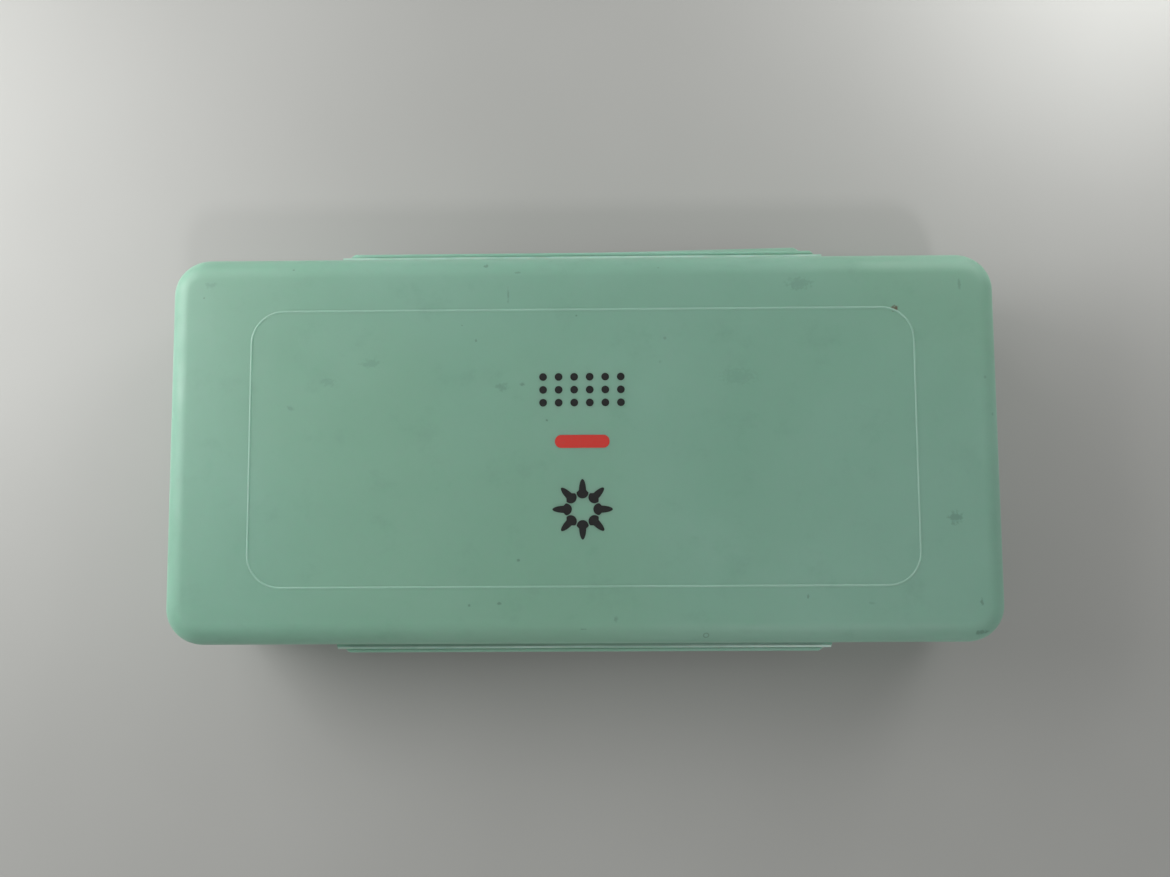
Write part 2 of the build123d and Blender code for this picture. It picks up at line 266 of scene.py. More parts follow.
    def round_outline(self, radius: float, segments: int) -> None:
        """Rounds the corners of a flat outline, with this many edges in each round."""
        bpy.ops.mesh.select_all(action="SELECT")
        self.bevel("VERTICES", radius, segments)

    def open_level(self, height: float) -> None:
        """Deletes the faces at a height."""
        self.pick_level("FACE", height)
        bpy.ops.mesh.delete(type="FACE")

    def cut(self, place: Vector, normal: Vector, above: float | None = None) -> None:
        """Cuts the mesh along a plane, and keeps both sides.

        Args:
            place: a point on the plane.
            normal: the plane's normal.
            above: the height that the faces to cut lie over, if not all are cut.
        """
        if above is None:
            bpy.ops.mesh.select_all(action="SELECT")
        else:
            self.pick("FACE", lambda corners: all(c.z > above for c in corners))
        bpy.ops.mesh.bisect(plane_co=place, plane_no=normal)

    def group(self, name: str) -> None:
        """Keeps the selected corners as a group.

        Args:
            name: the group's name.
        """
        chosen = self.thing.vertex_groups.new(name=name)
        self.thing.vertex_groups.active_index = chosen.index
        bpy.ops.object.vertex_group_assign()

    def displace(self, texture: bpy.types.Texture, depth: float, move: Vector) -> None:
        """Moves the corners of the group called skin up and down.

        Args:
            texture: the texture that says how far.
            depth: the distance from its darkest to its lightest.
            move: where the texture is read.
        """
        self.shift(Matrix.Translation(move))
        self.modifier(
            "DISPLACE",
            texture=texture,
            texture_coords="LOCAL",
            direction="Z",
            strength=depth,
            mid_level=0.5,
            vertex_group="skin",
        )
        self.shift(Matrix.Translation(-move))

    def modifier(self, kind: str, **settings: object) -> None:
        """Adds a modifier and applies it.

        Args:
            kind: the modifier's type.
            settings: its settings.
        """
        self.hold()
        added = self.thing.modifiers.new("work", kind)
        for key, value in settings.items():
            setattr(added, key, value)
        bpy.ops.object.modifier_apply(modifier=added.name)

    def thicken(self, wall: float) -> None:
        """Gives a skin its wall, which grows inwards."""
        self.modifier("SOLIDIFY", thickness=wall, offset=-1.0, use_even_offset=True)

    def soften(self, radius: float, segments: int = 2) -> None:
        """Rounds every sharp edge.

        Args:
            radius: their radius.
            segments: faces in each round.
        """
        self.modifier(
            "BEVEL",
            width=radius,
            segments=segments,
            limit_method="ANGLE",
            angle_limit=SHARP,
            use_clamp_overlap=True,
        )

    def outwards(self) -> None:
        """Turns every face outwards."""
        self.edit()
        bpy.ops.mesh.select_all(action="SELECT")
        bpy.ops.mesh.remove_doubles(threshold=MERGE)
        bpy.ops.mesh.normals_make_consistent(inside=False)
        self.rest()

    def absorb(self, others: Iterable[Blank]) -> None:
        """Joins other blanks to this one.

        Args:
            others: the blanks, which stop being pieces of their own.
        """
        self.hold()
        for other in others:
            other.thing.select_set(True)
        bpy.ops.object.join()

    def shift(self, matrix: Matrix) -> Blank:
        """Moves the mesh itself, and gives this blank back."""
        self.thing.data.transform(matrix)
        return self

    def twin(self, name: str, matrix: Matrix) -> Blank:
        """Copies the piece, with a mesh of its own, to another place.

        Args:
            name: the copy's name.
            matrix: the move from here to there.

        Returns:
            The copy.
        """
        thing = self.thing.copy()
        thing.data = self.thing.data.copy()
        thing.name = name
        bpy.context.scene.collection.objects.link(thing)
        return Blank(thing).shift(matrix)

    def finish(self, finish: Finish, body: str, slot: str, nodes: Iterable[str] = ()) -> None:
        """Dresses the piece, hangs it on the body that it rides on and hides the nodes that it
        replaces.

        Args:
            finish: its finish.
            body: the body that it rides on.
            slot: the record's material slot, which is not used.
            nodes: the nodes that it replaces.
        """
        self.hold()
        bpy.ops.object.shade_smooth_by_angle(angle=SMOOTH)
        self.thing.data.materials.clear()
        self.thing.data.materials.append(finish.material())
        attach(self.thing, body)
        if nodes:
            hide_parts(*nodes)
        log.info("%s: %d faces on %s", self.thing.name, len(self.thing.data.polygons), body)

    def dress(self, finish: Finish, test: Test) -> None:
        """Gives some of the faces another finish.

        Args:
            finish: the finish.
            test: what the places of a face's corners must pass.
        """
        mesh = self.thing.data
        mesh.materials.append(finish.material())
        for face in mesh.polygons:
            if test([mesh.vertices[index].co for index in face.vertices]):
                face.material_index = len(mesh.materials) - 1


def deselect() -> None:
    """Deselects every object."""
    for thing in bpy.context.selected_objects:
        thing.select_set(False)


def claim(name: str) -> bpy.types.Object:
    """Names the object just added and moves its place into its mesh.

    Args:
        name: the name.

    Returns:
        The object, at the origin.
    """
    thing = bpy.context.object
    thing.name = name
    bpy.ops.object.transform_apply(location=True, rotation=True, scale=True)
    return thing


# ---- Finishes -----------------------------------------------------------------------------------
class Graph:
    """A material's nodes, linked as they are made."""

    def __init__(self, name: str) -> None:
        """Starts a material with a Principled shader.

        Args:
            name: the material's name.
        """
        self.made = bpy.data.materials.new(name)
        self.made.use_nodes = True
        self.nodes = self.made.node_tree.nodes
        self.links = self.made.node_tree.links
        self.shader = self.nodes["Principled BSDF"]
        self.place = self.nodes.new("ShaderNodeTexCoord").outputs["Object"]

    def set(self, **values: object) -> None:
        """Sets constants on the shader's sockets, named with underscores for spaces."""
        for key, value in values.items():
            self.shader.inputs[key.replace("_", " ")].default_value = value

    def feed(self, socket: str, source: Socket) -> None:
        """Links a result to one of the shader's inputs."""
        self.links.new(source, self.shader.inputs[socket])

    def stretched(self, scale: Triple, move: Triple = (0, 0, 0)) -> Socket:
        """The place on the piece, scaled and moved.

        Args:
            scale: the scale along each axis.
            move: the move, in metres, before scaling.

        Returns:
            The changed place.
        """
        node = self.nodes.new("ShaderNodeMapping")
        node.vector_type = "TEXTURE"
        node.inputs["Scale"].default_value = tuple(1 / s for s in scale)
        node.inputs["Location"].default_value = move
        self.links.new(self.place, node.inputs["Vector"])
        return node.outputs["Vector"]

    def noise(
        self,
        scale: float,
        detail: float = 3.0,
        rough: float = 0.5,
        warp: float = 0.0,
        place: Socket | None = None,
    ) -> Socket:
        """Cloudy noise.

        Args:
            scale: how many clouds to a metre.
            detail: its octaves.
            rough: how strong the fine octaves are.
            warp: how far it is distorted.
            place: where it is read, if not on the piece itself.

        Returns:
            The noise, from 0 to 1.
        """
        node = self.nodes.new("ShaderNodeTexNoise")
        sizes = {"Scale": scale, "Detail": detail, "Roughness": rough, "Distortion": warp}
        for key, value in sizes.items():
            node.inputs[key].default_value = value
        self.links.new(place or self.place, node.inputs["Vector"])
        return node.outputs["Fac"]

    def specks(self, scale: float) -> Socket:
        """The distance to scattered points.

        Args:
            scale: how many cells to a metre.

        Returns:
            The distance, in cells.
        """
        node = self.nodes.new("ShaderNodeTexVoronoi")
        node.inputs["Scale"].default_value = scale
        self.links.new(self.place, node.inputs["Vector"])
        return node.outputs["Distance"]

    def ramp(self, source: Socket, low: float, high: float, start: float, end: float) -> Socket:
        """Maps a range onto another, held at its ends.

        Args:
            source: what is mapped.
            low: the value that gives start.
            high: the value that gives end.
            start: the result at low.
            end: the result at high.

        Returns:
            The mapped value.
        """
        node = self.nodes.new("ShaderNodeMapRange")
        node.interpolation_type = "SMOOTHSTEP"
        ends = {"From Min": low, "From Max": high, "To Min": start, "To Max": end}
        for key, value in ends.items():
            node.inputs[key].default_value = value
        self.links.new(source, node.inputs["Value"])
        return node.outputs["Result"]

    def sum(self, kind: str, a: Socket, b: object) -> Socket:
        """A sum of two values.

        Args:
            kind: the operation, such as MULTIPLY.
            a: the first value.
            b: the second, a result or a number.

        Returns:
            The answer.
        """
        node = self.nodes.new("ShaderNodeMath")
        node.operation = kind
        self.links.new(a, node.inputs[0])
        if isinstance(b, Socket):
            self.links.new(b, node.inputs[1])
        else:
            node.inputs[1].default_value = b
        return node.outputs[0]

    def blend(self, share: Socket, a: object, b: object) -> Socket:
        """Blends two colours.

        Args:
            share: how much of the second shows.
            a: the first, a result or a colour.
            b: the second.

        Returns:
            The blended colour.
        """
        node = self.nodes.new("ShaderNodeMix")
        node.data_type = "RGBA"
        self.links.new(share, node.inputs["Factor"])
        for socket, value in ((node.inputs[6], a), (node.inputs[7], b)):
            if isinstance(value, Socket):
                self.links.new(value, socket)
            else:
                socket.default_value = (*value, 1.0)
        return node.outputs[2]

    def spot(self, place: Triple, reach: Triple) -> Socket:
        """The distance from a mark's middle, as a share of its reach.

        Args:
            place: the middle.
            reach: the mark's half-sizes along X, Y and Z.

        Returns:
            The distance, 1 at the mark's edge.
        """
        node = self.nodes.new("ShaderNodeVectorMath")
        node.operation = "LENGTH"
        self.links.new(self.stretched(tuple(1 / r for r in reach), place), node.inputs[0])
        return node.outputs["Value"]

    def relief(self, source: Socket, depth: float, before: object = None) -> object:
        """Raises the surface a little by a value.

        Args:
            source: the height, from 0 to 1.
            depth: the height of 1, in metres.
            before: a relief that this one adds to.

        Returns:
            The changed normal.
        """
        node = self.nodes.new("ShaderNodeBump")
        node.inputs["Distance"].default_value = depth
        self.links.new(source, node.inputs["Height"])
        if before is not None:
            self.links.new(before, node.inputs["Normal"])
        return node.outputs["Normal"]


@dataclass(frozen=True)
class Mark:
    """A stain, scuff or speck on the lid.

    Attributes:
        x: its place along the box, in millimetres.
        y: its place across the box, in millimetres.
        length: its half-length along X, in millimetres.
        width: its half-width along Y, in millimetres.
        strength: how much of its colour shows.
        brown: whether it is brown dirt, not grey.
        hollow: whether it is only a ring.
    """

    x: float
    y: float
    length: float
    width: float
    strength: float
    brown: bool = False
    hollow: bool = False


@dataclass(frozen=True)
class Finish:
    """A finish, which makes its material once."""

    name: str

    def build(self, graph: Graph) -> None:
        """Makes the nodes, in each finish's own way."""
        raise NotImplementedError

    def material(self) -> bpy.types.Material:
        """Gives the material, which is made when it is first asked for.

        Returns:
            The material.
        """
        known = bpy.data.materials.get(self.name)
        if known:
            return known
        graph = Graph(self.name)
        self.build(graph)
        return graph.made


@dataclass(frozen=True)
class MintPlastic(Finish):
    """Satin polypropylene in a cloudy mint green, worn by use."""

    name: str = "mint_polypropylene"
    body: Colour = (0.188, 0.365, 0.272)
    milky: Colour = (0.212, 0.390, 0.302)
    warm: Colour = (0.182, 0.352, 0.250)
    grime: Colour = (0.080, 0.168, 0.126)
    marks: tuple[Mark, ...] = ()

    def build(self, graph: Graph) -> None:
        """Makes the nodes.

        Args:
            graph: the material's nodes.
        """
        clouds = graph.noise(9.0, 3.0, 0.45, 0.6)
        colour = graph.blend(graph.ramp(clouds, 0.38, 0.66, 0.0, 0.75), self.body, self.milky)
        warmth = graph.noise(6.0, 2.0, 0.4, 0.3, graph.stretched((1, 1, 1), (0.3, 0.7, 0.1)))
        colour = graph.blend(graph.ramp(warmth, 0.45, 0.70, 0.0, 0.6), colour, self.warm)
        dust = graph.noise(60.0, 5.0, 0.65)
        colour = graph.blend(graph.ramp(dust, 0.52, 0.78, 0.0, 0.16), colour, self.grime)
        fleck = graph.specks(95.0)
        sparse = graph.ramp(graph.noise(30.0, 1.0), 0.60, 0.66, 0.0, 0.40)
        flecks = graph.sum("MULTIPLY", graph.ramp(fleck, 0.03, 0.08, 1.0, 0.0), sparse)
        colour = graph.blend(flecks, colour, self.grime)
        frayed = graph.ramp(graph.noise(700.0, 2.0), 0.3, 0.7, -0.3, 0.3)
        for mark in self.marks:
            colour = self.stain(graph, mark, frayed, colour)
        graph.feed("Base Color", colour)
        smears = graph.noise(22.0, 6.0, 0.62, 1.2, graph.stretched((1.0, 1.7, 1.0)))
        graph.feed("Roughness", graph.ramp(smears, 0.35, 0.70, 0.46, 0.60))
        grain = graph.relief(graph.noise(1400.0, 2.0), 0.012 * MM)
        waves = graph.relief(graph.noise(14.0, 1.0, 0.4), 0.45 * MM, grain)
        graph.feed("Normal", waves)
        graph.set(
            IOR=1.49,
            Subsurface_Weight=0.8,
            Subsurface_Radius=(0.7, 1.0, 0.85),
            Subsurface_Scale=8.0 * MM,
            Sheen_Weight=0.06,
            Sheen_Roughness=0.4,
        )

    def stain(self, graph: Graph, mark: Mark, frayed: Socket, under: Socket) -> Socket:
        """Adds one mark.

        Args:
            graph: the material's nodes.
            mark: the mark.
            frayed: what makes its edge ragged.
            under: the colour so far.

        Returns:
            The colour with the mark.
        """
        spread = graph.spot(
            (mark.x * MM, mark.y * MM, 50 * MM), (mark.length * MM, mark.width * MM, 20 * MM)
        )
        if mark.hollow:
            spread = graph.sum("MULTIPLY", graph.sum("SUBTRACT", spread, 0.75), 4.0)
            spread = graph.sum("ABSOLUTE", spread, 0.0)
        else:
            spread = graph.sum("ADD", spread, frayed)
        share = graph.ramp(spread, 0.35, 1.0, mark.strength, 0.0)
        return graph.blend(share, under, (0.10, 0.055, 0.03) if mark.brown else self.grime)


# A paler mint for the raised line round the panel: a painted highlight along the line.
HIGHLIT_RIDGE = MintPlastic(
    "painted_highlight_mint_ridge", (0.235, 0.420, 0.325), (0.260, 0.445, 0.350), (0.225, 0.410, 0.305)
)
# A much paler mint for the ledges' tops: painted light that lifts them out of the shade under the
# lid's rolled edge.
LIT_LEDGE = MintPlastic(
    "painted_light_mint_ledge", (0.285, 0.480, 0.380), (0.305, 0.500, 0.400), (0.275, 0.470, 0.365)
)


@dataclass(frozen=True)
class WhitenedHighlitPlastic(Finish):
    """The case's plastic where it is thin and has turned pale from bending, painted paler still as
    a highlight along the hinge line.
    """

    name: str = "whitened_highlit_polypropylene"

    def build(self, graph: Graph) -> None:
        """Makes the nodes.

        Args:
            graph: the material's nodes.
        """
        creases = graph.noise(240.0, 4.0, 0.6, 0.0, graph.stretched((0.4, 1.0, 1.0)))
        share = graph.ramp(creases, 0.35, 0.7, 0.0, 1.0)
        graph.feed("Base Color", graph.blend(share, (0.40, 0.58, 0.50), (0.30, 0.49, 0.40)))
        graph.feed("Normal", graph.relief(creases, 0.02 * MM))
        graph.set(Roughness=0.34, Subsurface_Weight=0.2, Subsurface_Scale=1.0 * MM)


@dataclass(frozen=True)
class Moulding(Finish):
    """A plain moulded plastic with slight scuffs."""

    colour: Colour = (0.8, 0.8, 0.8)
    tint: Colour = (0.7, 0.7, 0.7)
    gloss: float = 0.25
    glow: float = 0.1
    splashes: bool = False

    def build(self, graph: Graph) -> None:
        """Makes the nodes.

        Args:
            graph: the material's nodes.
        """
        cloud = graph.ramp(graph.noise(14.0, 4.0, 0.6), 0.35, 0.75, 0.0, 0.5)
        colour = graph.blend(cloud, self.colour, self.tint)
        if self.splashes:
            wash = graph.noise(26.0, 5.0, 0.7, 1.6)
            hue = graph.noise(11.0, 1.0, 0.5, 0.4, graph.stretched((1, 1, 1), (0.5, 0.2, 0.9)))
            side = graph.ramp(hue, 0.40, 0.62, 0.0, 1.0)
            dye = graph.blend(side, (0.12, 0.25, 0.50), (0.62, 0.20, 0.14))
            colour = graph.blend(graph.ramp(wash, 0.60, 0.80, 0.0, 0.30), colour, dye)
        graph.feed("Base Color", colour)
        scuffs = graph.noise(180.0, 5.0, 0.7, 0.8, graph.stretched((1.0, 0.25, 1.0)))
        graph.feed("Roughness", graph.ramp(scuffs, 0.3, 0.8, self.gloss, self.gloss + 0.16))
        graph.feed("Normal", graph.relief(graph.noise(900.0, 2.0), 0.01 * MM))
        graph.set(
            IOR=1.49,
            Subsurface_Weight=self.glow,
            Subsurface_Radius=(1.0, 0.9, 0.8),
            Subsurface_Scale=1.5 * MM,
        )


@dataclass(frozen=True)
class Gouache(Finish):
    """Soft paint: matt, with a damp skin in its hollows and darker streaks."""

    colour: Colour = (0.5, 0.5, 0.5)

    def build(self, graph: Graph) -> None:
        """Makes the nodes.

        Args:
            graph: the material's nodes.
        """
        deep = tuple(c * (0.52 + 0.34 * c) for c in self.colour)
        pale = tuple(min(1.0, 0.90 * c + 0.05) for c in self.colour)
        streaks = graph.noise(95.0, 4.0, 0.6, 2.2, graph.stretched((1.0, 0.45, 1.0)))
        colour = graph.blend(graph.ramp(streaks, 0.40, 0.72, 0.0, 0.8), self.colour, deep)
        crust = graph.noise(260.0, 5.0, 0.7)
        colour = graph.blend(graph.ramp(crust, 0.58, 0.75, 0.0, 0.5), colour, pale)
        graph.feed("Base Color", colour)
        graph.feed("Roughness", graph.ramp(streaks, 0.3, 0.7, 0.32, 0.62))
        fine = graph.relief(crust, 0.12 * MM)
        graph.feed("Normal", graph.relief(streaks, 0.5 * MM, fine))
        graph.set(IOR=1.45)


@dataclass(frozen=True)
class VarnishedWood(Finish):
    """Varnished wood with its grain along X."""

    name: str = "varnished_wood"
    light: Colour = (0.42, 0.21, 0.075)
    dark: Colour = (0.20, 0.085, 0.028)

    def build(self, graph: Graph) -> None:
        """Makes the nodes.

        Args:
            graph: the material's nodes.
        """
        grain = graph.noise(900.0, 5.0, 0.6, 0.4, graph.stretched((0.05, 1.0, 1.0)))
        rings = graph.noise(260.0, 2.0, 0.5, 0.6, graph.stretched((0.12, 1.0, 1.0)))
        colour = graph.blend(graph.ramp(rings, 0.42, 0.60, 0.0, 0.8), self.light, self.dark)
        colour = graph.blend(graph.ramp(grain, 0.48, 0.66, 0.0, 0.8), colour, self.dark)
        graph.feed("Base Color", colour)
        graph.feed("Normal", graph.relief(grain, 0.02 * MM))
        graph.set(Roughness=0.42, Coat_Weight=0.6, Coat_Roughness=0.12)


@dataclass(frozen=True)
class Ferrule(Finish):
    """Pale metal, drawn along X."""

    name: str = "ferrule_metal"

    def build(self, graph: Graph) -> None:
        """Makes the nodes.

        Args:
            graph: the material's nodes.
        """
        lines = graph.noise(900.0, 4.0, 0.6, 0.0, graph.stretched((0.05, 1.0, 1.0)))
        tarnish = graph.noise(120.0, 4.0, 0.6)
        colour = graph.blend(
            graph.ramp(tarnish, 0.4, 0.8, 0.0, 0.6), (0.78, 0.77, 0.74), (0.52, 0.50, 0.46)
        )
        graph.feed("Base Color", colour)
        graph.feed("Roughness", graph.ramp(lines, 0.3, 0.7, 0.16, 0.34))
        graph.feed("Normal", graph.relief(lines, 0.01 * MM))
        graph.set(Metallic=1.0)


@dataclass(frozen=True)
class Hair(Finish):
    """Brown synthetic hair that runs along X, with pale and dark strands."""

    name: str = "brush_hair"
    root: Colour = (0.16, 0.065, 0.020)
    pale: Colour = (0.55, 0.30, 0.12)

    def build(self, graph: Graph) -> None:
        """Makes the nodes.

        Args:
            graph: the material's nodes.
        """
        strands = graph.noise(2600.0, 3.0, 0.6, 0.0, graph.stretched((0.03, 1.0, 1.0)))
        share = graph.ramp(strands, 0.35, 0.7, 0.0, 1.0)
        graph.feed("Base Color", graph.blend(share, self.root, self.pale))
        graph.feed("Normal", graph.relief(strands, 0.08 * MM))
        graph.set(Roughness=0.38, Sheen_Weight=0.2)


@dataclass(frozen=True)
class Ink(Finish):
    """Screen-printed ink, a little worn."""

    colour: Colour = (0.006, 0.006, 0.006)
    worn: Colour = (0.022, 0.034, 0.030)

    def build(self, graph: Graph) -> None:
        """Makes the nodes.

        Args:
            graph: the material's nodes.
        """
        wear = graph.noise(900.0, 5.0, 0.75)
        share = graph.ramp(wear, 0.50, 0.80, 0.0, 0.6)
        graph.feed("Base Color", graph.blend(share, self.colour, self.worn))
        graph.feed("Roughness", graph.ramp(wear, 0.3, 0.7, 0.34, 0.55))
        graph.feed("Normal", graph.relief(wear, 0.01 * MM))


# ---- The case -----------------------------------------------------------------------------------
WEAR = (
    Mark(121.1, 52.8, 1.7, 1.4, 0.9, True),
    Mark(141.8, -27.9, 3.4, 3.0, 0.45),
    Mark(150.6, -59.7, 0.8, 1.6, 0.6),
    Mark(150.9, -71.3, 3.6, 1.1, 0.6),
    Mark(-37.2, 71.1, 1.1, 0.9, 0.6),
    Mark(-28.5, 59.0, 0.5, 3.4, 0.4),
    Mark(-24.9, 68.2, 1.5, 0.5, 0.4),
    Mark(-24.5, -43.2, 0.9, 0.8, 0.6),
    Mark(-31.8, -59.4, 1.0, 0.7, 0.6),
    Mark(-43.3, -60.1, 0.7, 0.7, 0.6),
    Mark(85.2, -57.4, 0.5, 1.0, 0.5),
    Mark(12.4, -65.5, 1.0, 1.5, 0.4),
    Mark(0.1, -69.3, 1.3, 0.4, 0.5),
    Mark(46.6, -72.0, 1.3, 1.2, 0.6, hollow=True),
    Mark(109.2, -60.1, 1.6, 0.8, 0.25),
    Mark(84.6, 62.8, 6.0, 3.0, 0.26),
    Mark(146.4, 62.0, 0.8, 2.6, 0.4),
    Mark(-112.7, 69.9, 0.6, 0.5, 0.6),
    Mark(-147.3, 59.0, 0.5, 0.5, 0.6),
    Mark(-144.8, 64.0, 3.0, 1.6, 0.25),
    Mark(-2.0, 50.9, 0.4, 0.4, 0.6),
    Mark(-46.4, 47.4, 0.4, 0.4, 0.6),
    Mark(-41.0, 41.5, 0.6, 0.7, 0.55),
    Mark(-81.8, 32.8, 5.0, 2.2, 0.22),
    Mark(-98.3, 25.5, 3.2, 2.0, 0.2),
    Mark(-112.7, 15.6, 1.6, 1.3, 0.3),
    Mark(-31.0, 23.2, 3.0, 2.2, 0.3),
    Mark(-23.0, 24.4, 1.5, 0.9, 0.5),
    Mark(-13.6, 10.2, 0.5, 0.5, 0.7),
    Mark(29.9, 69.7, 0.5, 0.4, 0.5),
    Mark(60.4, 26.7, 9.0, 4.0, 0.14),
)


class Side(Enum):
    """The case's two long sides, by the sign of Y."""

    FRONT = -1
    REAR = 1


@dataclass(frozen=True)
class Case:
    """Sizes that the lid and its hinges share, in millimetres."""

    length: float = 325.0
    width: float = 152.2
    corner: float = 14.5
    parting: float = 31.0
    top: float = 50.0
    hinge_y: float = 78.5
    hinge_z: float = 34.0


CASE = Case()


@dataclass
class Lid:
    """The upper shell, with the raised line round its panel.

    Attributes:
        wall: the shell's thickness, in millimetres.
        edge: the radius between its top and its sides.
        draft: how far the sides lean in, in degrees.
        panel_length: the length inside the raised line's outer edge.
        panel_width: the width inside it.
        panel_corner: its corners' radius.
        bead_width: how wide the raised line is.
        bead_height: how high it stands.
        segments: faces in each rounded corner.
        ledge_reach: half the length of a ledge.
        ledge_depth: how far it stands in from its outer face.
        ledge_height: its thickness.
        film_reach: half the length of a film.
        film_height: half its thickness.
        web_reach: half the length of its thin middle.
        web_step: the length of the slope at each end of that.
    """

    wall: float = 1.8
    edge: float = 9.0
    draft: float = 1.5
    panel_length: float = 257.5
    panel_width: float = 107.5
    panel_corner: float = 13.0
    bead_width: float = 0.9
    bead_height: float = 0.22
    segments: int = 12
    ledge_reach: float = 98.0
    ledge_depth: float = 2.9
    ledge_height: float = 2.2
    film_reach: float = 97.6
    film_height: float = 0.24
    web_reach: float = 11.0
    web_step: float = 0.6

    def build(self) -> None:
        """Builds the shell, its ledges and the films that carry the latches."""
        shell = self.shell()
        shell.absorb([self.ledge(side) for side in Side])
        worn = MintPlastic("worn_mint_polypropylene", marks=WEAR)
        shell.finish(worn, "lid", "case_plastic", ["lid"])
        # Painted highlight: the raised line's faces get a paler mint.
        crest = CASE.top * MM + 1.5 * TINY
        shell.dress(HIGHLIT_RIDGE, lambda corners: max(c.z for c in corners) > crest)
        # Painted light: the ledges' tops get a much paler mint, against the shade under the lid's
        # rolled edge.
        rim, level = CASE.width / 2 * MM + 5 * TINY, CASE.hinge_z * MM - TINY
        shell.dress(LIT_LEDGE, lambda corners: all(abs(c.y) > rim and c.z > level for c in corners))
        # The films are pale from bending, with a painted highlight along the hinge line on top.
        for side in Side:
            self.film(side).finish(WhitenedHighlitPlastic(), "lid", "case_plastic")

    def shell(self) -> Blank:
        """Makes the hollow shell with its panel.

        Returns:
            The shell.
        """
        half = Vector((CASE.length / 2 * MM, CASE.width / 2 * MM, 0))
        low, top = Vector((-half.x, -half.y, CASE.parting * MM)), CASE.top * MM
        shell = Blank.box("lid_shell", low, Vector((half.x, half.y, top)))
        shell.edit()
        shell.narrow(top, (CASE.top - CASE.parting) * math.tan(math.radians(self.draft)) * MM)
        shell.round_uprights(CASE.corner * MM, self.segments)
        shell.round_level(top, self.edge * MM, 10)
        shell.open_level(CASE.parting * MM)
        shell.open_level(top)
        shell.rest()
        shell.absorb([self.panel(top)])
        shell.edit()
        shell.pick_level("EDGE", top, open_only=True)
        bpy.ops.mesh.bridge_edge_loops()
        shell.rest()
        shell.outwards()
        shell.thicken(self.wall * MM)
        shell.edit()
        shell.round_level(CASE.parting * MM, 0.35 * MM, 2)
        shell.rest()
        return shell

    def panel(self, height: float) -> Blank:
        """The panel, with the raised line along its edge.

        Args:
            height: where it lies.

        Returns:
            The panel.
        """
        panel = Blank.sheet("panel", self.panel_length * MM, self.panel_width * MM, height)
        panel.edit()
        panel.round_outline(self.panel_corner * MM, self.segments)
        step, rise = self.bead_width / 6 * MM, self.bead_height * MM
        bpy.ops.mesh.select_all(action="SELECT")
        for share in (0.62, 0.30, 0.08, -0.08, -0.30, -0.62):
            bpy.ops.mesh.inset(thickness=step, depth=share * rise)
        panel.rest()
        return panel

    def ledge(self, side: Side) -> Blank:
        """The ledge that carries a hinge.

        Args:
            side: which long side it is on.

        Returns:
            The ledge.
        """
        name = f"{side.name.lower()}_ledge"
        outer, top = CASE.hinge_y - 0.4, CASE.hinge_z + 0.25
        depth, height = (outer - self.ledge_depth, outer), (top - self.ledge_height, top)
        ledge = self.bar(name, side, self.ledge_reach, depth, height)
        ledge.soften(0.25 * MM)
        return ledge

    def film(self, side: Side) -> Blank:
        """The film that a latch turns on, thinnest in the middle.

        Args:
            side: which long side it is on.

        Returns:
            The film.
        """
        name = f"{side.name.lower()}_film"
        depth = (CASE.hinge_y - 0.45, CASE.hinge_y + 0.37)
        height = (CASE.hinge_z - self.film_height, CASE.hinge_z + self.film_height)
        film = self.bar(name, side, self.film_reach, depth, height)
        film.edit()
        web, ends = self.web_reach, self.web_reach + self.web_step
        for place in (-ends, -web, web, ends):
            film.cut(Vector((place * MM, 0, 0)), Vector((1, 0, 0)))
        low, high = film.bounds()
        middle, slope = (low + high) / 2, (web + self.web_step / 2) * MM
        film.pick("VERT", lambda corners: abs(corners[0].x) < slope)
        bpy.ops.transform.resize(value=(1, 1, 0.4), center_override=middle)
        film.pick("VERT", lambda corners: abs(corners[0].y) > CASE.hinge_y * MM)
        bpy.ops.transform.resize(value=(1, 1, 0.3), center_override=middle)
        film.rest()
        return film

    def bar(self, name: str, side: Side, reach: float, depth: Span, height: Span) -> Blank:
        """A straight bar along a long side.

        Args:
            name: the piece's name.
            side: which side.
            reach: its half-length, in millimetres.
            depth: how far from the middle it starts and ends.
            height: its lowest and highest levels.

        Returns:
            The bar.
        """
        ys = sorted(side.value * d for d in depth)
        low, high = Vector((-reach, ys[0], height[0])), Vector((reach, ys[1], height[1]))
        return Blank.box(name, low * MM, high * MM)


